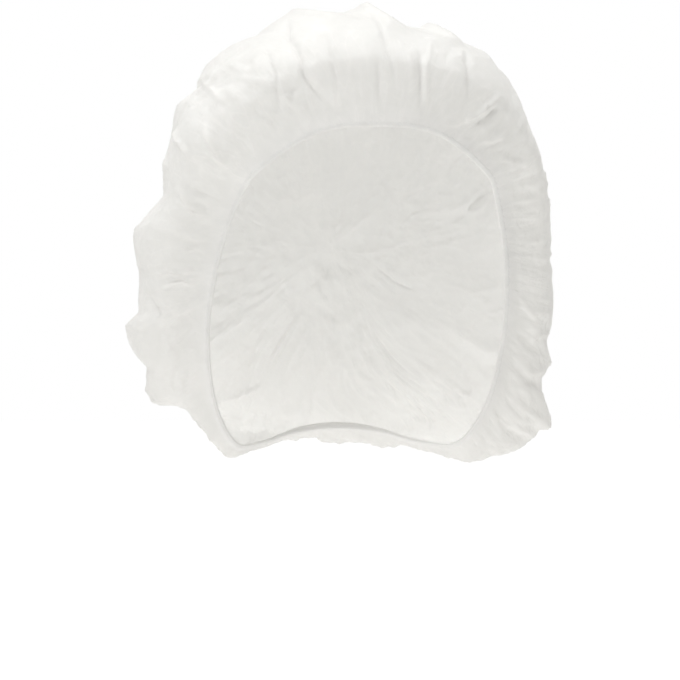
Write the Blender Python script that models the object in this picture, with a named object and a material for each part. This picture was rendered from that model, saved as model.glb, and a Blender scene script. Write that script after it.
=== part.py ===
"""A disposable bouffant cap: a puffed nonwoven crown gathered onto a narrow elasticated hem.

Units are metres, +Z is up and the face opening looks along -Y. The origin is the inner top of the crown,
where the wearer's head carries the cap. The crown is lofted in meridians that start at the hem, swell out to
a crest (the cap's outline from the front) and close at a pole in the middle of the back.
"""

import math
from collections import namedtuple

import bmesh
import bpy
from mathutils import Vector

# Driving sizes of the worn cap. The slant is how far the opening's top sits over towards the wearer's left.
CAP_WIDTH = 0.202
CAP_HEIGHT = 0.214
CAP_DEPTH = 0.226
OPENING_WIDTH = 0.1406
OPENING_HEIGHT = 0.145
OPENING_SLANT = 0.0045

# Cloth, hem and elastic
CLOTH_WALL = 0.001
HEM_WIDTH = 0.0062
HEM_THICKNESS = 0.0036
HEM_WALL = 0.001
HEM_ROUNDING = 0.0011
HEM_SLIT = 0.0006
HEM_LAP = 0.0014
SEAM_GAP = 0.0003
ELASTIC_CLEARANCE = 0.0003

# Folds and gathers. The swell is how many times over a fold has grown to its height before the crest.
FOLD_HEIGHT = 0.010
FOLD_SWELL = 1.5
GATHER_HEIGHT = 0.0008
GATHER_RISE = 0.004
GATHER_LENGTH = 0.030

# Mesh divisions. Gathers are counted on each side, from the middle of the forehead (0) to the nape.
GATHERS = 54
FRONT_ROWS = 7
BACK_ROWS = 10

# How full each meridian is: Bezier handles as shares of the span that they cover
HEM_HANDLE = 0.45
CREST_FRONT_HANDLE = 0.55
CREST_BACK_HANDLE = 0.62
POLE_HANDLE = 0.60

# The hem's line, by gather, the same on both sides. side is a share of half the opening's width, rise of
# its height above the cap's axis and depth of the cap's depth behind the seat. lean turns the hem's width
# from straight out (0) to straight back (90). puff is how far the cloth then swings outwards as it leaves
# the hem. clock is where that gather crosses the crest. These three are in degrees.
HemStation = namedtuple("HemStation", "gather side rise depth lean puff clock")
HEM_LINE = [
    HemStation(0.0, 0.000, 0.348, -0.398, 14, 48, 0),
    HemStation(8.6, 0.405, 0.322, -0.376, 18, 50, 36),
    HemStation(15.8, 0.768, 0.202, -0.301, 34, 52, 62),
    HemStation(19.4, 0.861, 0.114, -0.243, 42, 50, 74),
    HemStation(23.2, 0.925, 0.014, -0.199, 48, 48, 88),
    HemStation(27.2, 0.973, -0.103, -0.159, 52, 46, 102),
    HemStation(33.4, 1.000, -0.310, -0.088, 54, 44, 122),
    HemStation(39.0, 0.925, -0.538, -0.035, 54, 40, 139),
    HemStation(42.5, 0.768, -0.669, 0.022, 60, 40, 148),
    HemStation(46.2, 0.569, -0.676, 0.142, 80, 50, 156),
    HemStation(50.2, 0.284, -0.641, 0.221, 96, 56, 167),
    HemStation(54.0, 0.000, -0.628, 0.248, 100, 58, 180),
]

# The crest, by clock angle in degrees from the top towards the wearer's left, which is +X.
# reach is a share of half the cap's width and height, and depth a share of its depth.
CrestStation = namedtuple("CrestStation", "clock reach depth")
CREST_LINE = [
    CrestStation(-180, 0.915, 0.354),
    CrestStation(-165, 0.925, 0.300),
    CrestStation(-151, 0.970, 0.186),
    CrestStation(-136, 1.090, 0.133),
    CrestStation(-121, 1.120, 0.106),
    CrestStation(-105, 1.015, 0.088),
    CrestStation(-90, 0.985, 0.075),
    CrestStation(-78, 0.905, 0.060),
    CrestStation(-64, 0.925, 0.040),
    CrestStation(-48, 0.980, 0.000),
    CrestStation(-28, 1.020, -0.025),
    CrestStation(0, 1.000, -0.035),
    CrestStation(12, 0.972, -0.030),
    CrestStation(27, 0.985, -0.025),
    CrestStation(47, 0.970, 0.000),
    CrestStation(61, 0.890, 0.040),
    CrestStation(75, 0.885, 0.060),
    CrestStation(90, 0.912, 0.075),
    CrestStation(108, 0.972, 0.088),
    CrestStation(122, 1.055, 0.106),
    CrestStation(134, 1.220, 0.133),
    CrestStation(143, 1.220, 0.160),
    CrestStation(152, 1.020, 0.200),
    CrestStation(165, 0.960, 0.300),
    CrestStation(180, 0.915, 0.354),
]

# Main folds, each along one gather. height is a share of the fold height, spread the ridge's half width in
# gathers, sharp its form (0 is a round hump, 1 a tent with hollow sides) and back the share of the way from
# the crest to the pole at which it dies out.
Fold = namedtuple("Fold", "gather height spread sharp back")
FOLDS = [
    Fold(-42, 0.60, 2.2, 0.8, 0.6),
    Fold(-36, 1.05, 3.0, 0.9, 0.7),
    Fold(-30, 0.85, 2.5, 0.9, 0.7),
    Fold(-26, 0.40, 2.2, 0.2, 0.5),
    Fold(-23, 0.70, 2.2, 0.2, 0.6),
    Fold(-18, 0.50, 2.4, 0.2, 0.6),
    Fold(-14, 0.75, 3.0, 0.5, 0.6),
    Fold(-10, 0.45, 2.2, 0.2, 0.5),
    Fold(-7, 0.35, 2.0, 0.6, 0.6),
    Fold(-4, 0.55, 2.2, 0.9, 0.8),
    Fold(0, 0.70, 2.2, 0.9, 0.7),
    Fold(4, 0.70, 2.0, 0.8, 0.6),
    Fold(8, 0.55, 2.0, 0.2, 0.7),
    Fold(11, 0.50, 2.0, 0.7, 0.6),
    Fold(14, 0.35, 2.0, 0.5, 0.5),
    Fold(18, 0.40, 2.2, 0.2, 0.6),
    Fold(22, 0.60, 2.4, 0.1, 0.6),
    Fold(27, 0.35, 2.4, 0.1, 0.6),
    Fold(30, 0.60, 1.9, 0.8, 0.6),
    Fold(33, 0.75, 1.9, 0.8, 0.6),
    Fold(36, 0.70, 2.2, 0.8, 0.7),
    Fold(39, 0.60, 2.2, 0.5, 0.7),
    Fold(44, 0.50, 2.8, 0.2, 0.6),
    Fold(49, 0.60, 2.6, 0.6, 0.7),
    Fold(54, 0.60, 2.6, 0.4, 0.8),
    Fold(-49, 0.60, 2.6, 0.6, 0.7),
]

# Broad humps of the loose back, each at a gather and a share of the way from the crest to the pole
BackFold = namedtuple("BackFold", "gather middle height spread length")
BACK_FOLDS = [
    BackFold(-43, 0.42, 0.45, 6, 0.24),
    BackFold(-28, 0.50, 0.40, 5, 0.22),
    BackFold(-15, 0.42, 0.40, 5, 0.26),
    BackFold(-5, 0.52, 0.35, 4, 0.22),
    BackFold(6, 0.40, 0.40, 4, 0.24),
    BackFold(17, 0.50, 0.40, 5, 0.24),
    BackFold(31, 0.44, 0.45, 5, 0.22),
    BackFold(44, 0.50, 0.40, 5, 0.24),
]

# The cap's axis runs from front to back below the seat. The opening slants about a level, which is a
# share of its height, and the meridians close at a pole, whose depth is a share of the cap's.
AXIS_DROP = CAP_HEIGHT / 2 - CLOTH_WALL
LEVEL_SHARE = -0.3
POLE_SHARE = 0.566
POLE_RADIUS = 0.004
SMOOTH_ANGLE = math.radians(50)

Colour = namedtuple("Colour", "red green blue roughness")
CROWN_COLOUR = Colour(0.86, 0.86, 0.84, 0.75)
HEM_COLOUR = Colour(0.90, 0.89, 0.86, 0.70)
ELASTIC_COLOUR = Colour(0.93, 0.92, 0.89, 0.60)


def clear_scene():
    for old in list(bpy.data.objects):
        bpy.data.objects.remove(old)


def slope_at(rows, key, value, i):
    """The table's slope at row i, from its two neighbours."""
    before = rows[max(i - 1, 0)]
    after = rows[min(i + 1, len(rows) - 1)]
    return (getattr(after, value) - getattr(before, value)) / (getattr(after, key) - getattr(before, key))


def read_table(rows, key, value, where, level_ends=False):
    """A smooth reading of one column, by Hermite curves through the rows."""
    last = len(rows) - 2
    i = max(j for j in range(last + 1) if j == 0 or getattr(rows[j], key) <= where)
    left, right = rows[i], rows[i + 1]
    span = getattr(right, key) - getattr(left, key)
    t = (where - getattr(left, key)) / span
    start_slope = 0.0 if level_ends and i == 0 else slope_at(rows, key, value, i)
    end_slope = 0.0 if level_ends and i == last else slope_at(rows, key, value, i + 1)
    return (
        getattr(left, value) * (2 * t**3 - 3 * t**2 + 1)
        + span * start_slope * (t**3 - 2 * t**2 + t)
        + getattr(right, value) * (3 * t**2 - 2 * t**3)
        + span * end_slope * (t**3 - t**2)
    )


def hem_reading(gather, value, level_ends=True):
    """A column of the hem's table at a gather, which is negative on the wearer's right."""
    return read_table(HEM_LINE, "gather", value, abs(gather), level_ends)


def meridian_frame(gather):
    """A point of the opening's edge, the direction straight out from the cap's axis there, and its lean."""
    hand = 1 if gather >= 0 else -1
    share_up = hem_reading(gather, "rise")
    side = hand * hem_reading(gather, "side", False) * OPENING_WIDTH / 2
    side += OPENING_SLANT * (share_up - LEVEL_SHARE)
    rise = share_up * OPENING_HEIGHT
    edge = Vector((side, hem_reading(gather, "depth") * CAP_DEPTH, rise - AXIS_DROP))
    return edge, Vector((side, 0, rise)).normalized(), hem_reading(gather, "lean")


def leaning(outward, degrees):
    """A direction that leans from straight out towards the back."""
    turn = math.radians(degrees)
    return outward * math.cos(turn) + Vector((0, math.sin(turn), 0))


def crest_point(clock):
    """Where a meridian is widest, as (distance from the axis, depth)."""
    turn = math.radians(clock)
    reach = read_table(CREST_LINE, "clock", "reach", clock)
    across = Vector((CAP_WIDTH / 2 * math.sin(turn), CAP_HEIGHT / 2 * math.cos(turn)))
    return reach * across.length, read_table(CREST_LINE, "clock", "depth", clock) * CAP_DEPTH


def bezier(points, t):
    """A point and the direction of travel on a cubic Bezier curve."""
    a, b, c, d = points
    place = a * (1 - t) ** 3 + b * 3 * t * (1 - t) ** 2 + c * 3 * t**2 * (1 - t) + d * t**3
    travel = (b - a) * (1 - t) ** 2 + (c - b) * 2 * t * (1 - t) + (d - c) * t**2
    return place, travel.normalized()


def meridian_curves(gather):
    """A meridian's two curves in (distance from the axis, depth), and its clocks at hem and crest."""
    edge, outward, lean = meridian_frame(gather)
    puff = hem_reading(gather, "puff")
    clear = HEM_WIDTH + SEAM_GAP + CLOTH_WALL / 2 * math.sin(math.radians(puff))
    hem_end = edge + leaning(outward, lean) * clear
    hem_clock = math.atan2(hem_end.x, hem_end.z + AXIS_DROP)
    hand = 1 if gather >= 0 else -1
    clock = hand * hem_reading(gather, "clock", False)
    start = Vector((math.hypot(hem_end.x, hem_end.z + AXIS_DROP), hem_end.y))
    crest = Vector(crest_point(clock))
    pole = Vector((POLE_RADIUS, POLE_SHARE * CAP_DEPTH))
    span = (crest - start).length
    leave = math.radians(lean - puff)
    front = (
        start,
        start + Vector((math.cos(leave), math.sin(leave))) * span * HEM_HANDLE,
        crest - Vector((0, span * CREST_FRONT_HANDLE)),
        crest,
    )
    back = (
        crest,
        crest + Vector((0, (pole.y - crest.y) * CREST_BACK_HANDLE)),
        pole + Vector(((crest.x - pole.x) * POLE_HANDLE, 0)),
        pole,
    )
    return front, back, hem_clock, math.radians(clock)


def eased(share):
    """A smooth step from 0 to 1."""
    share = min(max(share, 0.0), 1.0)
    return share * share * (3 - 2 * share)


def fold_lift(gather, front_share, back_share):
    """How far the folds lift the cloth. front_share runs from hem to crest, back_share on to the pole."""
    lift = 0.0
    for fold in FOLDS:
        off = gathers_between(gather, fold.gather) / fold.spread
        if off < 1:
            hump = fold.sharp * (1 - off) ** 2 + (1 - fold.sharp) * (1 - eased(off))
            along = eased(front_share * FOLD_SWELL) * (1 - eased(back_share / fold.back))
            lift = max(lift, fold.height * hump * along)
    for hump in BACK_FOLDS:
        off = gathers_between(gather, hump.gather) / hump.spread
        away = abs(back_share - hump.middle) / hump.length
        if off < 1 and away < 1:
            lift += hump.height * (1 - eased(off)) * (1 - eased(away))
    return lift * FOLD_HEIGHT


def gathers_between(one, other):
    """The number of gathers between two places, the short way round."""
    apart = abs(one - other) % (2 * GATHERS)
    return min(apart, 2 * GATHERS - apart)


def crown_rings():
    """The crown's outer surface as rings of points, from the hem to the pole."""
    rows = [(i / FRONT_ROWS, 0.0) for i in range(FRONT_ROWS + 1)]
    rows += [(1.0, (i + 1) / BACK_ROWS) for i in range(BACK_ROWS)]
    rings = [[] for _ in rows]
    for gather in range(-GATHERS, GATHERS):
        front, back, hem_clock, crest_clock = meridian_curves(gather)
        pleat = GATHER_HEIGHT * (1 if gather % 2 else -1)
        run, previous = 0.0, None
        for ring, (front_share, back_share) in zip(rings, rows):
            place, travel = bezier(back, back_share) if back_share else bezier(front, front_share)
            run += (place - previous).length if previous else 0.0
            previous = place
            pinch = eased(run / GATHER_RISE) * (1 - eased(run / GATHER_LENGTH))
            lift = fold_lift(gather, front_share, back_share) + pleat * pinch + CLOTH_WALL / 2
            place = place + Vector((travel.y, -travel.x)) * lift
            turn = hem_clock + (crest_clock - hem_clock) * eased(front_share)
            ring.append(Vector((place.x * math.sin(turn), place.y, place.x * math.cos(turn) - AXIS_DROP)))
    return rings


def finish_object(name, mesh_builder, colour):
    """A smooth-shaded object of a bmesh, with a material of its own."""
    mesh = bpy.data.meshes.new(name)
    mesh_builder.to_mesh(mesh)
    mesh_builder.free()
    mesh.shade_smooth()
    mesh.set_sharp_from_angle(angle=SMOOTH_ANGLE)
    material = bpy.data.materials.new(name)
    material.use_nodes = True
    shader = material.node_tree.nodes["Principled BSDF"]
    shader.inputs["Base Color"].default_value = (colour.red, colour.green, colour.blue, 1)
    shader.inputs["Roughness"].default_value = colour.roughness
    shader.inputs["Metallic"].default_value = 0
    mesh.materials.append(material)
    made = bpy.data.objects.new(name, mesh)
    bpy.context.scene.collection.objects.link(made)
    return made


def join_loops(builder, near, far):
    """A strip of quads between two loops of as many vertices."""
    for i in range(len(near)):
        builder.faces.new((near[i - 1], near[i], far[i], far[i - 1]))


def build_crown():
    """The nonwoven crown: one open sheet, given its wall on the inside."""
    builder = bmesh.new()
    loops = [[builder.verts.new(p) for p in ring] for ring in crown_rings()]
    for near, far in zip(loops, loops[1:]):
        join_loops(builder, near, far)
    builder.faces.new(loops[-1])
    crown = finish_object("crown", builder, CROWN_COLOUR)
    wall = crown.modifiers.new("wall", "SOLIDIFY")
    wall.thickness = CLOTH_WALL
    wall.offset = -1
    return crown


def sweep_round_hem(name, section, colour):
    """A closed ring whose section, in (across the hem, off the hem's face), follows the opening's edge."""
    builder = bmesh.new()
    loops = []
    for gather in range(-GATHERS, GATHERS):
        edge, outward, lean = meridian_frame(gather)
        across = leaning(outward, lean)
        off = leaning(outward, lean - 90)
        loops.append([builder.verts.new(edge + across * w + off * n) for w, n in section])
    for near, far in zip(loops, loops[1:] + loops[:1]):
        join_loops(builder, far, near)
    return finish_object(name, builder, colour)


def build_hem():
    """The turned edge of the cloth: a flat sleeve, open along a slit on the head's side."""
    half, corner = HEM_THICKNESS / 2, HEM_ROUNDING
    inner = half - HEM_WALL
    lap = HEM_WIDTH - HEM_LAP
    section = [
        (lap - HEM_SLIT, -half),
        (corner, -half),
        (0, 0),
        (corner, half),
        (HEM_WIDTH - corner, half),
        (HEM_WIDTH, half - corner),
        (HEM_WIDTH, -half),
        (lap, -half),
        (lap, -inner),
        (HEM_WIDTH - HEM_WALL, -inner),
        (HEM_WIDTH - HEM_WALL, inner),
        (HEM_WALL, inner),
        (HEM_WALL, -inner),
        (lap - HEM_SLIT, -inner),
    ]
    return sweep_round_hem("hem", section, HEM_COLOUR)


def build_elastic():
    """The flat elastic that lies in the hem and draws the cap onto the head."""
    left = HEM_WALL + ELASTIC_CLEARANCE
    right = HEM_WIDTH - left
    half = HEM_THICKNESS / 2 - left
    section = [
        (left, half),
        (right, half),
        (right, -half),
        (left, -half),
    ]
    return sweep_round_hem("elastic", section, ELASTIC_COLOUR)


clear_scene()
build_crown()
build_hem()
build_elastic()
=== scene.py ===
"""The looks of a disposable bouffant cap: crumpled white nonwoven, gathered onto an elasticated hem.

The layout is that of a Blender add-on, and the file is run as a script. Lengths are metres, +Z is up and the
face opening looks along -Y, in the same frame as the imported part.
"""
import math
from collections import namedtuple

import bmesh
import bpy
import numpy as np
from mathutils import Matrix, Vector, noise


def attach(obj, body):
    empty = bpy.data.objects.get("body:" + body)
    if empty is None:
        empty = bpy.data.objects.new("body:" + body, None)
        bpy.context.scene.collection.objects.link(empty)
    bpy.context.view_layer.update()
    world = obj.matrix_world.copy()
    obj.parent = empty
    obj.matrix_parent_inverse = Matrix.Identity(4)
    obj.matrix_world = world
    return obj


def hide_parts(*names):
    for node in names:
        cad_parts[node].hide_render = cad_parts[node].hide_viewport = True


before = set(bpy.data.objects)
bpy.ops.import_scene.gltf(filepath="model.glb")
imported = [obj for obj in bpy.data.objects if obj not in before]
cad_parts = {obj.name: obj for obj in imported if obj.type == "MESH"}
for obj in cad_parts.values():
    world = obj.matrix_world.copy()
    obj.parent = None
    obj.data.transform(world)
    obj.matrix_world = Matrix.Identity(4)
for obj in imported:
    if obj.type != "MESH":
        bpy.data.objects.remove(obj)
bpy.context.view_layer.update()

bl_info = {
    "name": "Bouffant Cap",
    "version": (1, 0, 0),
    "blender": (4, 5, 0),
    "location": "3D View > Sidebar > Bouffant Cap",
    "description": "Builds the crown, hem and elastic of a disposable bouffant cap",
    "category": "Object",
}

# The hem's line, by gather, the same on both sides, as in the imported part. side is a share of half the
# opening's width, rise of its height above the cap's axis and depth of the cap's depth behind the seat.
# lean turns the hem's width from straight out (0) to straight back (90). puff is how far the cloth then
# swings outwards as it leaves the hem. clock is where that gather crosses the crest. The last three are in
# degrees.
GATHERS = 54
HemStation = namedtuple("HemStation", "gather side rise depth lean puff clock")
HEM_LINE = [
    HemStation(0.0, 0.000, 0.348, -0.398, 14, 48, 0),
    HemStation(8.6, 0.405, 0.322, -0.376, 18, 50, 36),
    HemStation(15.8, 0.768, 0.202, -0.301, 34, 52, 62),
    HemStation(19.4, 0.861, 0.114, -0.243, 42, 50, 74),
    HemStation(23.2, 0.925, 0.014, -0.199, 48, 48, 88),
    HemStation(27.2, 0.973, -0.103, -0.159, 52, 46, 102),
    HemStation(33.4, 1.000, -0.310, -0.088, 54, 44, 122),
    HemStation(39.0, 0.925, -0.538, -0.035, 54, 40, 139),
    HemStation(42.5, 0.768, -0.669, 0.022, 60, 40, 148),
    HemStation(46.2, 0.569, -0.676, 0.142, 80, 50, 156),
    HemStation(50.2, 0.284, -0.641, 0.221, 96, 56, 167),
    HemStation(54.0, 0.000, -0.628, 0.248, 100, 58, 180),
]

# The crest, by clock angle in degrees from the top towards the wearer's left. reach is a share of half the
# cap's width and height, and depth a share of its depth.
CrestStation = namedtuple("CrestStation", "clock reach depth")
CREST_LINE = [
    CrestStation(-180, 0.915, 0.354),
    CrestStation(-165, 0.925, 0.300),
    CrestStation(-151, 0.970, 0.186),
    CrestStation(-136, 1.090, 0.133),
    CrestStation(-121, 1.120, 0.106),
    CrestStation(-105, 1.015, 0.088),
    CrestStation(-90, 0.985, 0.075),
    CrestStation(-78, 0.905, 0.060),
    CrestStation(-64, 0.925, 0.040),
    CrestStation(-48, 0.980, 0.000),
    CrestStation(-28, 1.020, -0.025),
    CrestStation(0, 1.000, -0.035),
    CrestStation(12, 0.972, -0.030),
    CrestStation(27, 0.985, -0.025),
    CrestStation(47, 0.970, 0.000),
    CrestStation(61, 0.890, 0.040),
    CrestStation(75, 0.885, 0.060),
    CrestStation(90, 0.912, 0.075),
    CrestStation(108, 0.972, 0.088),
    CrestStation(122, 1.055, 0.106),
    CrestStation(134, 1.220, 0.133),
    CrestStation(143, 1.220, 0.160),
    CrestStation(152, 1.020, 0.200),
    CrestStation(165, 0.960, 0.300),
    CrestStation(180, 0.915, 0.354),
]

# Corners of the cap's outline as it is seen from the front, in whole millimetres across from the middle
# towards the wearer's left and up from the seat. The cloth is flat between them, and a ridge or valley runs
# from each towards the hem.
CORNERS = [
    (-58, -207), (-63, -205), (-69, -197), (-77, -191), (-83, -188), (-95, -188), (-98, -186),
    (-100, -180), (-99, -167), (-108, -153), (-109, -147), (-103, -141), (-103, -121), (-106, -105),
    (-105, -100), (-92, -86), (-90, -84), (-91, -70), (-89, -64), (-87, -55), (-86, -48), (-84, -41),
    (-75, -34), (-75, -29), (-70, -20), (-59, -12), (-47, -8), (-33, 2), (-29, 5), (-13, 3), (-6, 4),
    (1, 7), (5, 10), (12, 4), (17, 0), (24, -2), (31, -2), (36, 1), (40, 0), (46, -8), (63, -13),
    (68, -20), (75, -26), (83, -46), (86, -58), (90, -64), (92, -79), (91, -82), (97, -85), (97, -90),
    (96, -102), (94, -116), (96, -125), (97, -148), (93, -155), (97, -166), (90, -174), (93, -183),
    (96, -191), (96, -198), (90, -198), (87, -204), (82, -207), (72, -210), (53, -209),
]

# How far the cloth beside the crest already stands outside it, in millimetres, as the front view shows it
SeenPast = namedtuple("SeenPast", "clock reach")
SEEN_PAST_CREST = [
    SeenPast(-180, 0.0), SeenPast(-162, 5.5), SeenPast(-150, 10.5), SeenPast(-138, 6.5),
    SeenPast(-124, 0.8), SeenPast(-15, 0.2), SeenPast(10, 2.8), SeenPast(33, 4.0),
    SeenPast(48, 7.2), SeenPast(62, 9.8), SeenPast(73, 9.2), SeenPast(86, 5.6),
    SeenPast(104, 4.4), SeenPast(127, 2.0), SeenPast(150, 4.2), SeenPast(168, 0.5),
]

# Folds at the nape, which the front view hides: a clock angle in degrees and a height in millimetres
NAPE_FOLDS = [(-176, 1.5), (-171, -1), (-165, 3), (-158, -1), (159, -1), (166, 2.5), (173, -1)]

# Broad humps of the loose back, each at a clock angle and a share of the way from the crest to the pole.
# Their height is in millimetres and their spread in degrees.
BackFold = namedtuple("BackFold", "clock middle height spread length")
BACK_FOLDS = [
    BackFold(-152, 0.42, 4.5, 20, 0.24),
    BackFold(-106, 0.50, 4.0, 19, 0.22),
    BackFold(-59, 0.42, 4.0, 19, 0.26),
    BackFold(-21, 0.56, 3.0, 17, 0.22),
    BackFold(25, 0.60, 2.5, 16, 0.22),
    BackFold(66, 0.50, 4.0, 18, 0.24),
    BackFold(114, 0.44, 4.5, 19, 0.22),
    BackFold(152, 0.50, 4.0, 17, 0.24),
]

# Single creases seen from the front, in millimetres. height is how far the ridge stands up (a valley is
# negative), near and far the widths of its two sides, and points its line, across from the middle towards
# the wearer's left and up from the seat. The two shares then make every crease higher and narrower.
Crease = namedtuple("Crease", "height near far points")
FRONT_CREASES = [
    Crease(2.0, 4, 6, [(-71, -47), (-70, -54), (-68, -60), (-62, -68), (-57, -72)]),
    Crease(1.4, 5, 5, [(-72, -29), (-61, -40), (-58, -43)]),
    Crease(-1.2, 4, 5, [(-42, -13), (-40, -18), (-39, -22), (-37, -27), (-36, -34), (-35, -46)]),
    Crease(-1.8, 4, 6, [(-31, 1), (-31, -8), (-28, -13), (-25, -19), (-23, -27), (-19, -33), (-13, -39),
                        (-7, -46)]),
    Crease(-0.7, 3, 4, [(-13, -6), (-12, -11), (-10, -16), (-8, -26), (-7, -34), (-8, -40)]),
    Crease(-0.6, 2, 2, [(-36, -35), (-29, -34), (-22, -33)]),
    Crease(0.7, 2, 2, [(-35, -38), (-30, -37), (-25, -36)]),
    Crease(0.7, 2.5, 2.5, [(-44, -49), (-39, -50), (-34, -51)]),
    Crease(-0.7, 2.5, 3, [(-50, -43), (-45, -45), (-40, -48)]),
    Crease(1.4, 5, 5, [(-85, -53), (-82, -60), (-75, -66)]),
    Crease(-1.0, 4, 4, [(-78, -81), (-69, -85)]),
    Crease(1.2, 4, 6, [(-84, -78), (-79, -88), (-69, -96)]),
    Crease(1.1, 3.5, 3.5, [(-86, -86), (-80, -89), (-76, -92), (-70, -94), (-66, -98)]),
    Crease(1.4, 3.5, 3.5, [(-94, -123), (-88, -121), (-83, -122), (-78, -120), (-70, -123)]),
    Crease(1.0, 3, 3, [(-92, -127), (-82, -125), (-77, -127), (-70, -126)]),
    Crease(1.1, 3, 3, [(-83, -109), (-79, -111), (-75, -110), (-68, -114)]),
    Crease(0.9, 3, 3, [(-80, -104), (-75, -106), (-68, -107)]),
    Crease(-0.9, 4, 4, [(-98, -131), (-91, -144)]),
    Crease(0.9, 4, 4, [(-108, -147), (-90, -146)]),
    Crease(0.8, 6, 6, [(-90, -146), (-78, -140), (-67, -134)]),
    Crease(1.9, 3, 5, [(71, -36), (65, -41), (59, -46), (50, -51), (41, -50)]),
    Crease(-1.3, 3, 3, [(71, -39), (66, -46), (61, -50), (55, -53)]),
    Crease(1.3, 4, 5, [(76, -50), (73, -55), (68, -58), (60, -60)]),
    Crease(-0.9, 3, 3, [(74, -57), (66, -61), (59, -63)]),
    Crease(0.6, 4, 4, [(66, -68), (75, -68), (84, -69)]),
    Crease(0.8, 4, 4, [(83, -109), (86, -107), (90, -106)]),
    Crease(0.9, 5, 5, [(79, -132), (85, -140), (90, -145)]),
    Crease(1.0, 4, 4, [(96, -150), (90, -151), (84, -156)]),
    Crease(0.9, 5, 5, [(96, -166), (88, -169), (78, -169)]),
    Crease(0.9, 5, 5, [(96, -197), (88, -190), (77, -182)]),
    Crease(-0.8, 5, 5, [(90, -174), (81, -175)]),
    Crease(-0.8, 4, 5, [(9, 5), (15, -5), (17, -15), (20, -24), (21, -34)]),
    Crease(-0.6, 4, 5, [(12, -18), (13, -28), (13, -40)]),
    Crease(-1.0, 4, 4, [(32, -12), (33, -22), (33, -35), (33, -49)]),
    Crease(0.7, 4, 5, [(37, -10), (36, -22), (36, -35), (36, -49)]),
    Crease(-0.8, 4, 5, [(54, -14), (55, -20), (56, -29), (56, -40)]),
    Crease(0.6, 4, 6, [(25, -14), (28, -20), (29, -30)]),
    Crease(0.7, 3, 3, [(-12, -11), (-8, -15)]),
]
CREASE_RAISING = 1 / 0.7
CREASE_NARROWING = 1 / 1.2

# Chance creases: how many, and the seed of their places
CHANCE_CREASES = 260
CHANCE_SEED = 11

# Layers of crumples: how many to the metre, their height as a share of the crumple height, and how many
# times longer they are along the meridians than across
Crumple = namedtuple("Crumple", "pitch height stretch")
CRUMPLES = [
    Crumple(26, 1.10, 2.2),
    Crumple(48, 0.85, 1.9),
    Crumple(90, 0.80, 1.6),
    Crumple(170, 0.46, 1.4),
]

# The clock angles between which the cloth lies calm over the forehead
CALM_CLOCKS = (-40, 46)

# How full each meridian is: Bezier handles as shares of the span that they cover
HEM_HANDLE = 0.45
CREST_FRONT_HANDLE = 0.55
CREST_BACK_HANDLE = 0.62
POLE_HANDLE = 0.60

# The height, as a share of the opening's, at which the slanted opening isn't shifted, and the pole's depth
LEVEL_SHARE = -0.3
POLE_SHARE = 0.566

# How the folds stray sideways: degrees, waves to the metre, and from and over how far off the crest
WANDER_DEGREES = 16
WANDER_PITCH = 22
WANDER_START = 0.03
WANDER_RISE = 0.05

# The hem's lap, rounding and ripples, the clearance and degrees of the crown's wrap round it, and where the
# cloth leaves it, as a share of its thickness
HEM_LAP = 0.0014
HEM_ROUNDING = 0.0006
HEM_RIPPLE = 0.00008
WRAP_CLEARANCE = 0.0003
WRAP_TURNS = (-35, 130)
LEAVE_SHARE = 0.38

# Divisions of the crown's sheet and of the hem
COLUMNS = 600
HEM_ROWS = 14
FRONT_ROWS = 68
BACK_ROWS = 84
CREST_ROW = HEM_ROWS + FRONT_ROWS
HEM_COLUMNS = 900

# Passes that smooth the sheet where it leaves the hem, and how many rows past the hem they reach
SEAM_PASSES = 150
SEAM_ROWS = 18

# The camera and the floor, from the photograph's framing
CAMERA_TURN = math.radians(-5.7)
CAMERA_DISTANCE = 1.9
CAMERA_AIM = Vector((-0.0057, 0.0006, -0.1536))
CAMERA_LENS = 209.6
FLOOR_HEIGHT = -0.315


class CapSizes(bpy.types.PropertyGroup):
    """Sizes of the worn cap."""

    cap_width: bpy.props.FloatProperty(
        name="Cap width", description="Width of the puffed crown", default=0.202, unit="LENGTH")
    cap_height: bpy.props.FloatProperty(
        name="Cap height", description="Height of the crown's front ring", default=0.214, unit="LENGTH")
    cap_depth: bpy.props.FloatProperty(
        name="Cap depth", description="Depth of the cap from the forehead to the back", default=0.226,
        unit="LENGTH")
    opening_width: bpy.props.FloatProperty(
        name="Opening width", description="Width of the face opening", default=0.1406, unit="LENGTH")
    opening_height: bpy.props.FloatProperty(
        name="Opening height", description="Height of the face opening", default=0.145, unit="LENGTH")
    opening_slant: bpy.props.FloatProperty(
        name="Opening slant", description="How far the opening's top sits over to the wearer's left",
        default=0.0045, unit="LENGTH")
    cloth_wall: bpy.props.FloatProperty(
        name="Cloth wall", description="Thickness of the packed crown's solid", default=0.001, unit="LENGTH")
    seam_gap: bpy.props.FloatProperty(
        name="Seam gap", description="Gap between the packed hem and crown", default=0.0003, unit="LENGTH")
    hem_width: bpy.props.FloatProperty(
        name="Hem width", description="Width of the turned hem", default=0.0062, unit="LENGTH")
    hem_thickness: bpy.props.FloatProperty(
        name="Hem thickness", description="Thickness of the turned hem", default=0.0036, unit="LENGTH")
    hem_wall: bpy.props.FloatProperty(
        name="Hem wall", description="Thickness of the hem's own cloth", default=0.0009, unit="LENGTH")
    gather_height: bpy.props.FloatProperty(
        name="Gather height", description="Height of the pleats beside the hem", default=0.0006,
        unit="LENGTH")
    gather_length: bpy.props.FloatProperty(
        name="Gather length", description="How far the pleats run up from the hem", default=0.034,
        unit="LENGTH")
    crumple_height: bpy.props.FloatProperty(
        name="Crumple height", description="Height of the cloth's small crumples", default=0.0011,
        unit="LENGTH")


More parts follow.
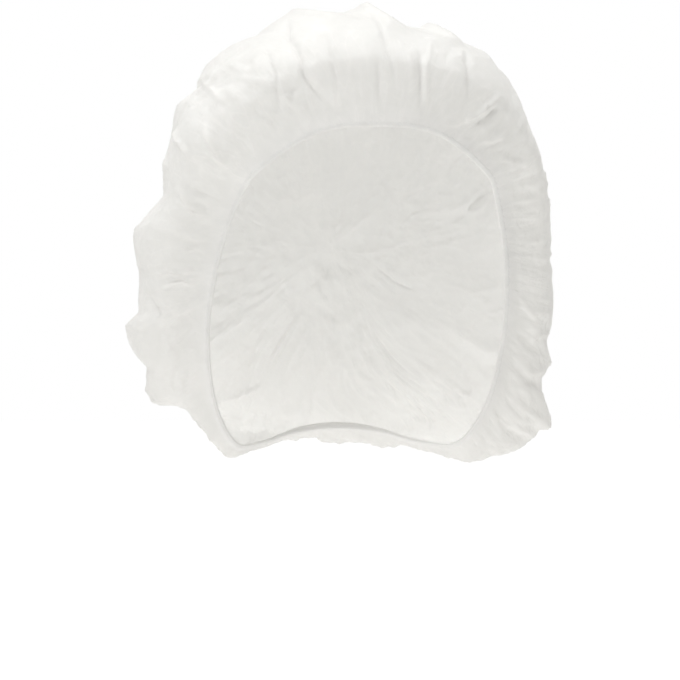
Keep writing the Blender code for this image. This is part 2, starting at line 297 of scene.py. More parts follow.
class CapColours(bpy.types.PropertyGroup):
    """Colours of the cap's materials."""

    nonwoven: bpy.props.FloatVectorProperty(
        name="Nonwoven", description="White of the spunbond cloth", subtype="COLOR",
        default=(0.978, 0.971, 0.955))
    # Also the greyer end from which the painted light on ridges, low down and on the hem lifts the cloth
    # towards the white above
    nonwoven_thin: bpy.props.FloatVectorProperty(
        name="Nonwoven, thin places", description="White where the fibres lie thin", subtype="COLOR",
        default=(0.885, 0.885, 0.872))
    # Painted shade: the grey that the crease valleys are painted
    nonwoven_painted_valley_shade: bpy.props.FloatVectorProperty(
        name="Nonwoven, valleys", description="White at the bottom of a sharp crease", subtype="COLOR",
        default=(0.80, 0.795, 0.78))
    nonwoven_glow: bpy.props.FloatVectorProperty(
        name="Nonwoven, lit through", description="Tint of the light that comes through the cloth",
        subtype="COLOR", default=(0.965, 0.96, 0.94))
    elastic: bpy.props.FloatVectorProperty(
        name="Elastic", description="Covered elastic in the hem", subtype="COLOR",
        default=(0.88, 0.86, 0.81))
    floor: bpy.props.FloatVectorProperty(
        name="Floor", description="Studio floor", subtype="COLOR", default=(0.92, 0.92, 0.92))


class Wire:
    """A socket of a material's nodes that can be used in sums."""

    def __init__(self, paint, socket):
        self.paint = paint
        self.socket = socket

    def _sum(self, operation, first, second):
        return self.paint.node("ShaderNodeMath", {"operation": operation}, {0: first, 1: second})

    def __add__(self, other):
        return self._sum("ADD", self, other)

    def __radd__(self, other):
        return self._sum("ADD", other, self)

    def __sub__(self, other):
        return self._sum("SUBTRACT", self, other)

    def __rsub__(self, other):
        return self._sum("SUBTRACT", other, self)

    def __mul__(self, other):
        return self._sum("MULTIPLY", self, other)

    def __rmul__(self, other):
        return self._sum("MULTIPLY", other, self)

    def __neg__(self):
        return self._sum("SUBTRACT", 0.0, self)

    def part(self, operation, other=0.0):
        """A Math node of another kind on this socket."""
        return self._sum(operation, self, other)


class Paint:
    """The nodes of one material or of the world."""

    def __init__(self, owner):
        self.owner = owner
        owner.use_nodes = True
        self.tree = owner.node_tree
        self.tree.nodes.clear()

    def node(self, kind, settings=None, inputs=None, output=0):
        """Makes a node, sets it up, fills its sockets with values or wires and gives one output."""
        made = self.tree.nodes.new(kind)
        for name, value in (settings or {}).items():
            setattr(made, name, value)
        for name, value in (inputs or {}).items():
            socket = made.inputs[name]
            if isinstance(value, Wire):
                self.tree.links.new(value.socket, socket)
            elif socket.type == "RGBA":
                socket.default_value = (*value[:3], 1)
            else:
                socket.default_value = value
        return Wire(self, made.outputs[output])

    def blend(self, share, first, second):
        """A mix of two colours."""
        return self.node("ShaderNodeMix", {"data_type": "RGBA"}, {0: share, 6: first, 7: second}, 2)

    def smooth(self, value, low, high):
        """0 below low, 1 above high and a smooth step between them."""
        return self.node("ShaderNodeMapRange", {"interpolation_type": "SMOOTHSTEP"},
                         {0: value, 1: low, 2: high, 3: 0.0, 4: 1.0})

    def finish(self, shader, kind="ShaderNodeOutputMaterial"):
        """Ends the nodes in the output and gives the material or world."""
        output = self.tree.nodes.new(kind)
        self.tree.links.new(shader.socket, output.inputs["Surface"])
        return self.owner


def sizes_and_colours(context):
    """The two groups of values that the panel shows."""
    return context.scene.cap_sizes, context.scene.cap_colours


def axis_drop(sizes):
    """How far the cap's axis, which runs from front to back, lies below the seat."""
    return sizes.cap_height / 2 - sizes.cloth_wall


def read_table(rows, key, value, where, level_ends=False):
    """A smooth reading of one column, by Hermite curves through the rows."""
    def slope(i):
        before, after = rows[max(i - 1, 0)], rows[min(i + 1, len(rows) - 1)]
        return (getattr(after, value) - getattr(before, value)) / (getattr(after, key) - getattr(before, key))

    last = len(rows) - 2
    i = max(j for j in range(last + 1) if j == 0 or getattr(rows[j], key) <= where)
    left, right = rows[i], rows[i + 1]
    span = getattr(right, key) - getattr(left, key)
    t = (where - getattr(left, key)) / span
    start_slope = 0.0 if level_ends and i == 0 else slope(i)
    end_slope = 0.0 if level_ends and i == last else slope(i + 1)
    return (
        getattr(left, value) * (2 * t**3 - 3 * t**2 + 1)
        + span * start_slope * (t**3 - 2 * t**2 + t)
        + getattr(right, value) * (3 * t**2 - 2 * t**3)
        + span * end_slope * (t**3 - t**2)
    )


def hem_reading(gather, value, level_ends=True):
    """A column of the hem's table at a gather, which is negative on the wearer's right."""
    return read_table(HEM_LINE, "gather", value, abs(gather), level_ends)


def hem_frame(sizes, gather):
    """A point of the opening's edge, the directions across the hem and off its face, and the hem's lean."""
    hand = 1 if gather >= 0 else -1
    share_up = hem_reading(gather, "rise")
    side = hand * hem_reading(gather, "side", False) * sizes.opening_width / 2
    side += sizes.opening_slant * (share_up - LEVEL_SHARE)
    rise = share_up * sizes.opening_height
    edge = Vector((side, hem_reading(gather, "depth") * sizes.cap_depth, rise - axis_drop(sizes)))
    outward, lean = Vector((side, 0, rise)).normalized(), hem_reading(gather, "lean")
    return edge, leaning(outward, lean), leaning(outward, lean - 90), lean


def leaning(outward, degrees):
    """A direction that leans from straight out towards the back."""
    turn = math.radians(degrees)
    return outward * math.cos(turn) + Vector((0, math.sin(turn), 0))


def crest_point(sizes, clock):
    """Where a meridian is widest, as (distance from the axis, depth)."""
    turn = math.radians(clock)
    reach = read_table(CREST_LINE, "clock", "reach", clock)
    across = Vector((sizes.cap_width / 2 * math.sin(turn), sizes.cap_height / 2 * math.cos(turn)))
    return reach * across.length, read_table(CREST_LINE, "clock", "depth", clock) * sizes.cap_depth


def meridian_curves(sizes, gather):
    """A meridian's two curves in (distance from the axis, depth), and its clocks at hem and crest."""
    edge, across, off, lean = hem_frame(sizes, gather)
    puff = hem_reading(gather, "puff")
    clear = sizes.hem_width + sizes.seam_gap + sizes.cloth_wall / 2 * math.sin(math.radians(puff))
    hem_end = edge + across * clear + off * sizes.hem_thickness * LEAVE_SHARE
    drop = axis_drop(sizes)
    hem_clock = math.atan2(hem_end.x, hem_end.z + drop)
    clock = (1 if gather >= 0 else -1) * hem_reading(gather, "clock", False)
    start = Vector((math.hypot(hem_end.x, hem_end.z + drop), hem_end.y))
    crest = Vector(crest_point(sizes, clock))
    pole = Vector((0.0, POLE_SHARE * sizes.cap_depth))
    span = (crest - start).length
    leave = math.radians(lean - puff)
    front = (
        start,
        start + Vector((math.cos(leave), math.sin(leave))) * span * HEM_HANDLE,
        crest - Vector((0, span * CREST_FRONT_HANDLE)),
        crest,
    )
    back = (
        crest,
        crest + Vector((0, (pole.y - crest.y) * CREST_BACK_HANDLE)),
        pole + Vector(((crest.x - pole.x) * POLE_HANDLE, 0)),
        pole,
    )
    return front, back, hem_clock, math.radians(clock)


def camera_ways():
    """The directions to the right of the photograph's camera and away from it."""
    turn = CAMERA_TURN
    return np.array([math.cos(turn), math.sin(turn), 0]), np.array([-math.sin(turn), math.cos(turn), 0])


def outline_corners(sizes):
    """Every corner's clock angle, in degrees, and how far it stands off the smooth crest, in metres."""
    right, away = camera_ways()
    aim = np.array(CAMERA_AIM)
    drop = axis_drop(sizes)
    corners = [(clock, height / 1000) for clock, height in NAPE_FOLDS]
    past_clocks, past_reaches = np.array(SEEN_PAST_CREST).T
    for across, up in CORNERS:
        seen_across, seen_up = across / 1000 - aim @ right, up / 1000 - aim[2]
        x, z = across / 1000, up / 1000
        for _ in range(4):  # the crest's depth follows the clock, and the clock the place at that depth
            clock = math.degrees(math.atan2(x, z + drop))
            reach, depth = crest_point(sizes, clock)
            far = 1 + (np.array([x, depth, 0]) - aim) @ away / CAMERA_DISTANCE
            x = aim[0] + (seen_across * far - right[1] * (depth - aim[1])) / right[0]
            z = aim[2] + seen_up * far
        seen_past = np.interp(clock, past_clocks, past_reaches, period=360) / 1000
        corners.append((clock, math.hypot(x, z + drop) - reach - seen_past))
    return np.array(sorted(corners)).T


def eased(share):
    """A smooth step from 0 to 1, of numbers or arrays."""
    share = np.clip(share, 0.0, 1.0)
    return share * share * (3 - 2 * share)


def fold_wander(run, hem_clock):
    """How many degrees the folds stray sideways at each row and column, which is nothing at the crest."""
    turn = np.broadcast_to(hem_clock, run.shape)
    radius = 0.1
    unrolled = np.stack([radius * np.cos(turn), radius * np.sin(turn), run], axis=2).reshape(-1, 3)
    grown = eased((np.abs(run - run[FRONT_ROWS]) - WANDER_START) / WANDER_RISE)
    return WANDER_DEGREES * noise_at(unrolled, WANDER_PITCH).reshape(run.shape) * grown


def fold_lift(sizes, clocks, front_shares, back_shares, wander):
    """How far the folds lift the cloth, in metres, by row and column."""
    front, back = front_shares[:, None], back_shares[:, None]
    corners, lifts = outline_corners(sizes)
    here = clocks + wander
    sharp = np.interp(here, corners, lifts, period=360)
    # The corners averaged over some degrees swell the whole cloth, and their sharpness grows later
    broad = np.mean([np.interp(here + off, corners, lifts, period=360) for off in range(-8, 9, 2)], axis=0)
    turn = np.radians(clocks)
    # Each fold dies out at its own share of the way to the pole
    fade = 0.55 + 0.8 * noise_at(np.stack([np.cos(turn), np.sin(turn), turn * 0], axis=1), 3.0)
    lift = broad * np.clip(front * 1.3, 0, 1) * (1 - eased(back / fade))
    lift += (sharp - broad) * eased(front) ** 2 * (1 - eased(back / fade / 1.1))
    for hump in BACK_FOLDS:
        off = np.abs((here - hump.clock + 180) % 360 - 180) / hump.spread
        away = np.abs(back - hump.middle) / hump.length
        lift += hump.height / 1000 * (1 - eased(away)) * (1 - eased(off))
    return lift


def bezier(points, shares):
    """Points and unit directions of travel on cubic curves. points is [column, handle, 2]."""
    a, b, c, d = (points[None, :, i] for i in range(4))
    t = shares[:, None, None]
    place = a * (1 - t) ** 3 + b * 3 * t * (1 - t) ** 2 + c * 3 * t**2 * (1 - t) + d * t**3
    travel = (b - a) * (1 - t) ** 2 + (c - b) * 2 * t * (1 - t) + (d - c) * t**2
    return place, travel / np.maximum(np.linalg.norm(travel, axis=2, keepdims=True), 1e-9)


def hem_wrap(sizes, gather):
    """Where the crown's cloth wraps the hem, from its inner side over its face, on a flat ellipse."""
    edge, across, off, _ = hem_frame(sizes, gather)
    middle = sizes.hem_width / 2
    wide, high = middle + 2 * WRAP_CLEARANCE, sizes.hem_thickness / 2 + WRAP_CLEARANCE
    turns = np.radians(np.linspace(*WRAP_TURNS, HEM_ROWS))
    return [edge + across * (middle - wide * math.cos(t)) + off * (high * math.sin(t)) for t in turns]


def smooth_crown(sizes):
    """The crown with its main folds: points by row and column, and each one's run from the hem."""
    gathers = np.linspace(-GATHERS, GATHERS, COLUMNS + 1)[:-1]
    curves = [meridian_curves(sizes, gather) for gather in gathers]
    front_points = np.array([[p[:] for p in front] for front, _, _, _ in curves])
    back_points = np.array([[p[:] for p in back] for _, back, _, _ in curves])
    hem_clock = np.array([hem for _, _, hem, _ in curves])
    crest_clock = np.array([crest for _, _, _, crest in curves])
    hem_clock = crest_clock + (hem_clock - crest_clock + math.pi) % (2 * math.pi) - math.pi
    front_shares = np.concatenate([np.arange(FRONT_ROWS + 1) / FRONT_ROWS, np.ones(BACK_ROWS)])
    back_shares = np.concatenate([np.zeros(FRONT_ROWS + 1), (np.arange(BACK_ROWS) + 1) / BACK_ROWS])
    front_place, front_travel = bezier(front_points, front_shares)
    back_place, back_travel = bezier(back_points, back_shares)
    behind = (back_shares > 0)[:, None, None]
    place = np.where(behind, back_place, front_place)
    travel = np.where(behind, back_travel, front_travel)
    steps = np.linalg.norm(np.diff(place, axis=0), axis=2)
    run = np.concatenate([np.zeros((1, COLUMNS)), np.cumsum(steps, axis=0)])
    wander = fold_wander(run, hem_clock)
    lift = fold_lift(sizes, np.degrees(crest_clock), front_shares, back_shares, wander)
    place = place + np.stack([travel[..., 1], -travel[..., 0]], axis=2) * lift[..., None]
    turn = hem_clock + (crest_clock - hem_clock) * eased(front_shares)[:, None]
    points = np.stack([
        place[..., 0] * np.sin(turn), place[..., 1], place[..., 0] * np.cos(turn) - axis_drop(sizes),
    ], axis=2)
    wrap = np.array([hem_wrap(sizes, gather) for gather in gathers]).transpose(1, 0, 2)
    steps = np.linalg.norm(np.diff(np.concatenate([wrap, points[:1]]), axis=0), axis=2)
    before = -np.cumsum(steps[::-1], axis=0)[::-1]
    whole = np.concatenate([wrap, points])
    row = np.arange(1, len(whole) - 1)
    near_seam = (eased((row - 3) / 5) * eased((HEM_ROWS + SEAM_ROWS - row) / 10))[:, None, None]
    for _ in range(SEAM_PASSES):
        whole[1:-1] += near_seam * 0.25 * (whole[:-2] + whole[2:] - 2 * whole[1:-1])
    return whole, np.concatenate([before, run]), gathers


def outward_normals(points):
    """Unit normals of a sheet of points that closes round its columns."""
    across = np.roll(points, -1, axis=1) - np.roll(points, 1, axis=1)
    along = np.gradient(points, axis=0)
    normals = np.cross(across, along)
    normals[-1] = normals[-2].mean(axis=0)
    normals /= np.maximum(np.linalg.norm(normals, axis=2, keepdims=True), 1e-12)
    middle = points.mean(axis=(0, 1))
    if np.sum(normals * (points - middle)) < 0:
        normals = -normals
    return normals


def crease_lift(points, normals, line, height, near, far):
    """A tent along a line of points on the cloth, with sides of two widths, that fades at its ends."""
    line = np.array(line)
    lengths = np.linalg.norm(np.diff(line, axis=0), axis=1)
    total = lengths.sum()
    middle = line.mean(axis=0)
    reach = np.linalg.norm(line - middle, axis=1).max() + max(near, far)
    close = np.linalg.norm(points - middle, axis=1) < reach
    lift = np.zeros(len(points))
    if not close.any() or total < 1e-6:
        return lift
    here, facing = points[close], normals[close]
    best = np.full(len(here), 1e9)
    side = np.zeros(len(here))
    along = np.zeros(len(here))
    passed = 0.0
    for start, end, length in zip(line, line[1:], lengths):
        way = (end - start) / max(length, 1e-9)
        t = np.clip((here - start) @ way, 0, length)
        gap = here - (start + t[:, None] * way)
        gap -= facing * np.sum(gap * facing, axis=1)[:, None]
        distance = np.linalg.norm(gap, axis=1)
        closer = distance < best
        best = np.where(closer, distance, best)
        side = np.where(closer, np.sum(gap * np.cross(facing, way), axis=1), side)
        along = np.where(closer, (passed + t) / total, along)
        passed += length
    width = np.where(side > 0, far, near)
    tent = 0.5 * np.clip(1 - best / width, 0, 1) ** 1.5 + 0.5 * np.clip(1 - best / width / 0.4, 0, 1)
    ends = eased(along / 0.3) * eased((1 - along) / 0.3)
    lift[close] = height * tent * (0.15 + 0.85 * ends)
    return lift


def front_crease_lines(points, normals):
    """The front creases' lines, moved onto the cloth as the photograph's camera sees it."""
    right, away = camera_ways()
    rel = points - np.array(CAMERA_AIM)
    size = CAMERA_DISTANCE / (CAMERA_DISTANCE + rel @ away)
    seen = np.stack([(rel @ right) * size, rel[:, 2] * size], axis=1)
    offset = np.array([np.array(CAMERA_AIM) @ right, CAMERA_AIM.z])
    hidden = np.where(normals @ away < -0.05, 0.0, 1.0)
    for crease in FRONT_CREASES:
        line = []
        for across, up in crease.points:
            target = np.array([across, up]) / 1000 - offset
            line.append(points[np.argmin(np.linalg.norm(seen - target, axis=1) + hidden)])
        yield crease, line


def scattered_creases(points, run, seed, count):
    """Chance creases as (line, height, near, far), mostly along the meridians near the hem."""
    chance = np.random.default_rng(seed)
    rows, columns = points.shape[:2]
    for _ in range(count):
        row = chance.integers(HEM_ROWS + 3, rows - 6)
        column = chance.integers(0, columns)
        reach = np.linalg.norm(points[row, column] - points[row, (column + 1) % columns]) + 1e-6
        step = np.linalg.norm(points[row, column] - points[row - 1, column]) + 1e-6
        slack = 0.35 + 1.2 * eased(run[row, column] / 0.12)
        angle = chance.normal(0, 1) * 0.55 * slack
        length = chance.uniform(0.010, 0.038)
        line = []
        bend = chance.normal(0, 0.35)
        for share in (-0.5, -0.25, 0.0, 0.25, 0.5):
            heading = angle + bend * share
            r = row + share * length * math.cos(heading) / step
            c = column + share * length * math.sin(heading) / reach
            r = int(np.clip(round(r), HEM_ROWS, rows - 2))
            line.append(points[r, int(round(c)) % columns])
        height = chance.choice([-1, 1]) * chance.uniform(0.25, 1.0)
        width = chance.uniform(0.002, 0.006)
        yield line, height, width * chance.uniform(0.6, 1.2), width * chance.uniform(0.8, 1.6)


def noise_at(places, scale, shift=0.0):
    """Perlin noise at each place, from about -0.5 to 0.5."""
    return np.array([noise.noise(p) for p in map(Vector, (places * scale + shift).tolist())])


def crisp_ridges(places, scale, shift):
    """Sharp ridges along the winding lines where a noise crosses its middle, as much up as down."""
    return 0.36 - 2 * np.abs(noise_at(places, scale, shift))


def crumple_lift(points, run, gathers):
    """Crisp chance ridges in layers, long along the meridians save round the pole, as shares of a height."""
    flat = points.reshape(-1, 3)
    turn = np.broadcast_to(gathers / GATHERS * math.pi, run.shape).ravel()
    reach = run[-1].mean() * 0.46
    from_axis = np.hypot(flat[:, 0], flat[:, 2] - points[-1, 0, 2])
    round_pole = 1 - eased((from_axis - 0.025) / 0.055)
    warp = np.stack([noise_at(flat, 24, shift) for shift in (3.0, 17.0, 41.0)], axis=1) * 0.018
    patches = 0.55 + 1.1 * eased(noise_at(flat, 19, 7.0) + 0.5)
    lift = np.zeros(len(flat))
    for i, layer in enumerate(CRUMPLES):
        unrolled = np.stack([reach * np.cos(turn), reach * np.sin(turn), run.ravel() / layer.stretch], axis=1)
        combed = crisp_ridges(unrolled + warp, layer.pitch, 5.0 * i)
        loose = crisp_ridges(flat + warp, layer.pitch, 9.0 * i)
        sharp = combed * (1 - round_pole) + loose * round_pole
        lift += sharp * layer.height * (patches if i else 1.0)
    return lift.reshape(run.shape)


def pleat_lift(points, run, gathers, length):
    """Rounded pleats with sharp valleys that start on the hem and merge as they run up the cloth."""
    wander = noise_at(points[0], 70)
    run = np.maximum(run, 0)
    drift = noise_at(points.reshape(-1, 3), 28, 2.0).reshape(run.shape) * 0.9

    def pleats(width, wandering, drifting, phase):
        """Pleats so many gathers wide, as much up as down."""
        place = gathers + wandering * wander + drifting * drift
        return np.abs(np.sin(math.pi / width * place + phase)) - 0.64

    fine, mid, broad = pleats(1, 1.4, 1, 0), pleats(2, 2.2, 1.5, 0.4), pleats(3.7, 3.0, 1.8, 1.0)
    return (
        0.9 * fine * np.exp(-run / (0.35 * length)) * (0.3 + 0.7 * eased(run / 0.004))
        + 0.8 * mid * eased(run / (0.25 * length)) * np.exp(-run / (0.7 * length))
        + 1.0 * broad * eased(run / (0.5 * length)) * np.exp(-run / (1.2 * length))
    )


def calm_share(run, gathers):
    """1 on the smooth cloth over the forehead, 0 on the crumpled sides and back."""
    clocks = np.array([(1 if g >= 0 else -1) * hem_reading(g, "clock", False) for g in gathers])
    first, last = CALM_CLOCKS
    over_forehead = eased((clocks - first) / 14) * eased((last - clocks) / 12)
    past_crest = run - run[CREST_ROW]
    return over_forehead * (1 - eased((past_crest - 0.01) / 0.05))


def crumpled_crown(sizes):
    """The crown's final points, their run from the hem, each column's gather and the material's shares."""
    points, run, gathers = smooth_crown(sizes)
    calm = calm_share(run, gathers)
    normals = outward_normals(points)
    flat, facing = points.reshape(-1, 3), normals.reshape(-1, 3)
    drawn, painted_crease_shading = np.zeros(len(flat)), np.zeros(len(flat))
    for crease, line in front_crease_lines(flat, facing):
        near, far = crease.near / 1000 * CREASE_NARROWING, crease.far / 1000 * CREASE_NARROWING
        drawn += crease_lift(flat, facing, line, crease.height / 1000 * CREASE_RAISING, near, far)
        # Painted shading along each front crease: a painted highlight on a ridge and painted shade in a
        # valley
        painted_shading_height = np.clip(crease.height / 1.6, -0.8, 1.0)
        painted_crease_shading += crease_lift(flat, facing, line, painted_shading_height, near * 0.7, far * 0.7)
    chance = np.zeros(len(flat))
    for line, height, near, far in scattered_creases(points, run, CHANCE_SEED, CHANCE_CREASES):
        chance += crease_lift(flat, facing, line, height * sizes.crumple_height, near, far)
    chance = chance.reshape(run.shape) + crumple_lift(points, run, gathers) * sizes.crumple_height
    # Chance forms are lower in front and most of all over the forehead, and none cuts into the seam
    in_front = 1 - eased((run - run[CREST_ROW]) / 0.04)
    chance *= (1 - 0.2 * in_front) * (1 - 0.75 * calm)
    lift = (drawn.reshape(run.shape) + chance) * eased(run / 0.012)
    lift += pleat_lift(points, run, gathers, sizes.gather_length) * sizes.gather_height * (1 - 0.6 * calm)
    return points + normals * lift[..., None], run, gathers, {
        "calm_cloth": calm, "crease_tone": np.clip(painted_crease_shading, -1, 1).reshape(run.shape)}


def new_object(name, builder, material):
    """An object of a bmesh, smooth-shaded, in one material."""
    mesh = bpy.data.meshes.new(name)
    builder.to_mesh(mesh)
    builder.free()
    mesh.shade_smooth()
    mesh.materials.append(material)
    made = bpy.data.objects.new(name, mesh)
    bpy.context.scene.collection.objects.link(made)
    return made


def closed_sheet(points, flat_uv=None, shares=None):
    """A bmesh grid moved onto rows and columns of points, sewn up along its last column.

    shares holds arrays of numbers by row and column, which become attributes of the same names."""
    rows, columns = points.shape[:2]
    builder = bmesh.new()
    bmesh.ops.create_grid(builder, x_segments=columns, y_segments=rows - 1, size=0.5)
    builder.verts.ensure_lookup_table()
    place = {}
    for vert in builder.verts:
        column = round((vert.co.x + 0.5) * columns)
        row = round((vert.co.y + 0.5) * (rows - 1))
        place[vert.index] = (row, column)
    if flat_uv:
        flat_cloth = builder.loops.layers.uv.new("flat_cloth")
        for face in builder.faces:
            for loop in face.loops:
                loop[flat_cloth].uv = flat_uv(*place[loop.vert.index])
    shares = shares or {}
    for name in shares:
        builder.verts.layers.float.new(name)
    builder.verts.ensure_lookup_table()
    kept = [(builder.verts.layers.float[name], values) for name, values in shares.items()]
    for vert in builder.verts:
        row, column = place[vert.index]
        vert.co = points[row, column % columns]
        for share, values in kept:
            vert[share] = values[row, column % columns]
    bmesh.ops.remove_doubles(builder, verts=builder.verts, dist=1e-7)
    bmesh.ops.recalc_face_normals(builder, faces=builder.faces)
    return builder


def crease_net(paint, place, scale, detail=1.0):
    """Crisp ridges along the winding lines where a noise crosses its middle, from about -0.5 to 0."""
    made = paint.node("ShaderNodeTexNoise", {}, {"Vector": place, "Scale": scale, "Detail": detail,
                                                 "Roughness": 0.45, "Distortion": 0.25})
    return -(made - 0.5).part("ABSOLUTE")


def combed_place(paint, across, along):
    """Coordinates on the flat cloth that run across and along its meridians, and the share off its middle."""
    uv = paint.node("ShaderNodeUVMap", {"uv_map": "flat_cloth"})
    off = paint.node("ShaderNodeVectorMath", {"operation": "SUBTRACT"}, {0: uv, 1: (0.5, 0.5, 0.0)})
    radius = paint.node("ShaderNodeVectorMath", {"operation": "LENGTH"}, {0: off}, 1)
    way = paint.node("ShaderNodeVectorMath", {"operation": "NORMALIZE"}, {0: off})
    way = paint.node("ShaderNodeVectorMath", {"operation": "SCALE"}, {0: way, "Scale": across})
    deep = paint.node("ShaderNodeCombineXYZ", {}, {"Z": radius * along})
    place = paint.node("ShaderNodeVectorMath", {"operation": "ADD"}, {0: way, 1: deep})
    return place, paint.smooth(radius, 0.08, 0.22)


def cloth_material(name, colours, through, gloss=0.0, combed=False):
    """White spunbond nonwoven: cloudy fibres and fine crinkles, partly lit through."""
    paint = Paint(bpy.data.materials.new(name))
    place = paint.node("ShaderNodeTexCoord", output="Object")
    clouds = paint.node("ShaderNodeTexNoise", {}, {"Vector": place, "Scale": 170.0, "Detail": 4.0,
                                                   "Roughness": 0.62, "Distortion": 0.6})
    blots = paint.node("ShaderNodeTexNoise", {}, {"Vector": place, "Scale": 38.0, "Detail": 2.0})
    fibres = paint.node("ShaderNodeTexNoise", {}, {"Vector": place, "Scale": 1500.0, "Detail": 3.0,
                                                   "Roughness": 0.7, "Distortion": 1.8})
    thin = paint.smooth(clouds * 0.65 + blots * 0.35, 0.36, 0.66)
    patches = paint.smooth(blots, 0.35, 0.65) * 0.7 + 0.3
    broad, fine = crease_net(paint, place, 110.0), crease_net(paint, place, 290.0)
    # The bump's ridges also get a painted highlight in the colour below
    ridges = paint.smooth(broad, -0.03, 0.0) * patches
    creases = (broad + fine * 0.4) * patches
    if combed:
        lines, outer = combed_place(paint, 14.0, 30.0)
        pulled = crease_net(paint, lines, 1.0)
        ridges = ridges * 0.5 + paint.smooth(pulled, -0.03, 0.0) * outer * patches
        creases = creases * 0.7 + (pulled + crease_net(paint, lines, 2.3) * 0.4) * outer * patches
    # Whiter where the fibres lie thick, which is the cloth's own tone. Painted light makes it whiter on
    # ridges, low down and on the hem, and painted shade makes it greyer in crease valleys
    # The creases' painted shading: above 0 a painted highlight, below 0 painted shade
    painted_crease_shading = paint.node("ShaderNodeAttribute", {"attribute_name": "crease_tone"}, {}, 2)
    # Painted light from below: the lower part of the cap is painted lighter
    low = paint.smooth(-paint.node("ShaderNodeSeparateXYZ", {}, {0: place}, 2), 0.12, 0.19)
    # The cloth on the hem is painted lighter, painted light in place of the light that the closed hem doesn't
    # let through
    on_hem = paint.node("ShaderNodeAttribute", {"attribute_name": "hem_wrap"}, {}, 2)
    # Fibre tone and painted light together: ridges, low places and the hem are painted lighter
    fibre_tone_and_painted_light = thin * 0.45 + ridges * 0.4 + low * 0.7 + on_hem * 0.3 + painted_crease_shading.part("MAXIMUM", 0.0)
    fibre_tone_and_painted_light = fibre_tone_and_painted_light.part("MINIMUM", 1.0)
    colour = paint.blend(fibre_tone_and_painted_light, colours.nonwoven_thin, colours.nonwoven)
    # Painted shade in crease valleys, which also let less light through below
    valley = (-painted_crease_shading).part("MAXIMUM", 0.0)
    colour = paint.blend(valley, colour, colours.nonwoven_painted_valley_shade)
    calm = paint.node("ShaderNodeAttribute", {"attribute_name": "calm_cloth"}, {}, 2)
    height = creases * (1.0 - on_hem * 0.8) * (1.0 - calm * 0.65) * 0.75 + fibres * 0.02 + clouds * 0.08
    bump = paint.node("ShaderNodeBump", {}, {"Strength": 1.0, "Distance": 0.0020, "Height": height})
    cloth = paint.node("ShaderNodeBsdfPrincipled", {}, {
        "Base Color": colour, "Roughness": 0.88 - thin * 0.16 - gloss, "Normal": bump,
        "Specular IOR Level": 0.35, "Sheen Weight": 0.25, "Sheen Roughness": 0.4})
    glow = paint.node("ShaderNodeBsdfTranslucent", {}, {"Color": colours.nonwoven_glow, "Normal": bump})
    share = through * (1.0 - thin * 0.3) * (1.0 - on_hem * 0.6) * (1.0 - valley * 0.5)
    return paint.finish(paint.node("ShaderNodeMixShader", {}, {0: share, 1: cloth, 2: glow}))


class BuildCrown(bpy.types.Operator):
    """The puffed crown: one sheet of nonwoven, with its folds, gathers and crumples"""

    bl_idname = "bouffant_cap.build_crown"
    bl_label = "Crown"

    def execute(self, context):
        sizes, colours = sizes_and_colours(context)
        points, run, gathers, shares = crumpled_crown(sizes)
        rows = len(points)
        reach = (run[-1] - run[0]).max()
        turn = np.append(gathers, GATHERS) / GATHERS * math.pi

        def flat_uv(row, column):
            radius = (run[-1] - run[row])[column % len(gathers)] / reach / 2
            return 0.5 + radius * math.sin(turn[column]), 0.5 + radius * math.cos(turn[column])

        points[rows - 1] = points[rows - 1].mean(axis=0)
        cloth = cloth_material("nonwoven", colours, 0.36, combed=True)
        # hem_wrap marks the cloth round the hem, which the material paints lighter as painted light, bumps
        # less and lets less light through
        wrap = eased((HEM_ROWS + 2 - np.arange(rows)) / 10)
        shares["hem_wrap"] = np.broadcast_to(wrap[:, None], run.shape)
        crown = new_object("crown_sheet", closed_sheet(points, flat_uv, shares), cloth)
        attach(crown, "root")
        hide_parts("crown")
        return {"FINISHED"}


def hem_section(sizes, wave):
    """The turned hem's section as (across the hem, off its face), with a gathered outer side."""
    half, wall = sizes.hem_thickness / 2, sizes.hem_wall
    width = sizes.hem_width
    lap = width - HEM_LAP
    inner = half - wall
    out = half - HEM_ROUNDING + wave
    outer = [
        (lap - HEM_ROUNDING, -half), (width * 0.45, -half), (0.0011, -half + 0.0001), (0.0003, -half * 0.55),
        (0.0, 0.0), (0.0003, out * 0.62), (0.0012, out * 0.95), (width * 0.36, out),
        (width * 0.6, out), (width - 0.0010, out * 0.95), (width - 0.0003, half * 0.62),
        (width, 0.0), (width, -half),
    ]
    lined = [
        (lap, -half), (lap, -inner), (width - wall, -inner), (width - wall, inner * 0.6),
        (width - wall * 1.4, inner), (wall * 1.4, inner), (wall, inner * 0.6), (wall, -inner * 0.6),
        (wall * 1.4, -inner), (lap - HEM_ROUNDING, -inner),
    ]
    return outer + lined


def swept_ring(sizes, columns, section_at):
    """Points, by place in the section and column, of a section that follows the opening's edge."""
    rings = []
    for gather in np.linspace(-GATHERS, GATHERS, columns + 1)[:-1]:
        edge, across, off, _ = hem_frame(sizes, gather)
        rings.append([edge + across * w + off * n for w, n in section_at(gather)])
    return np.array(rings).transpose(1, 0, 2)


class BuildHem(bpy.types.Operator):
    """The turned and gathered hem that holds the elastic"""

    bl_idname = "bouffant_cap.build_hem"
    bl_label = "Hem"

    def execute(self, context):
        sizes, colours = sizes_and_colours(context)

        def section_at(gather):
            wander = noise.noise(Vector((gather * 0.35, 3.1, 0.0)))
            ripple = math.cos(math.pi * 2.9 * gather + 7 * wander) + 0.5 * math.cos(math.pi * 5.3 * gather)
            return hem_section(sizes, HEM_RIPPLE * ripple)

        points = swept_ring(sizes, HEM_COLUMNS, section_at)
        points = np.concatenate([points, points[:1]])
        cloth = cloth_material("nonwoven_hem", colours, 0.10, 0.05)
        hem = new_object("hem_casing", closed_sheet(points), cloth)
        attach(hem, "root")
        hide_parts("hem")
        return {"FINISHED"}


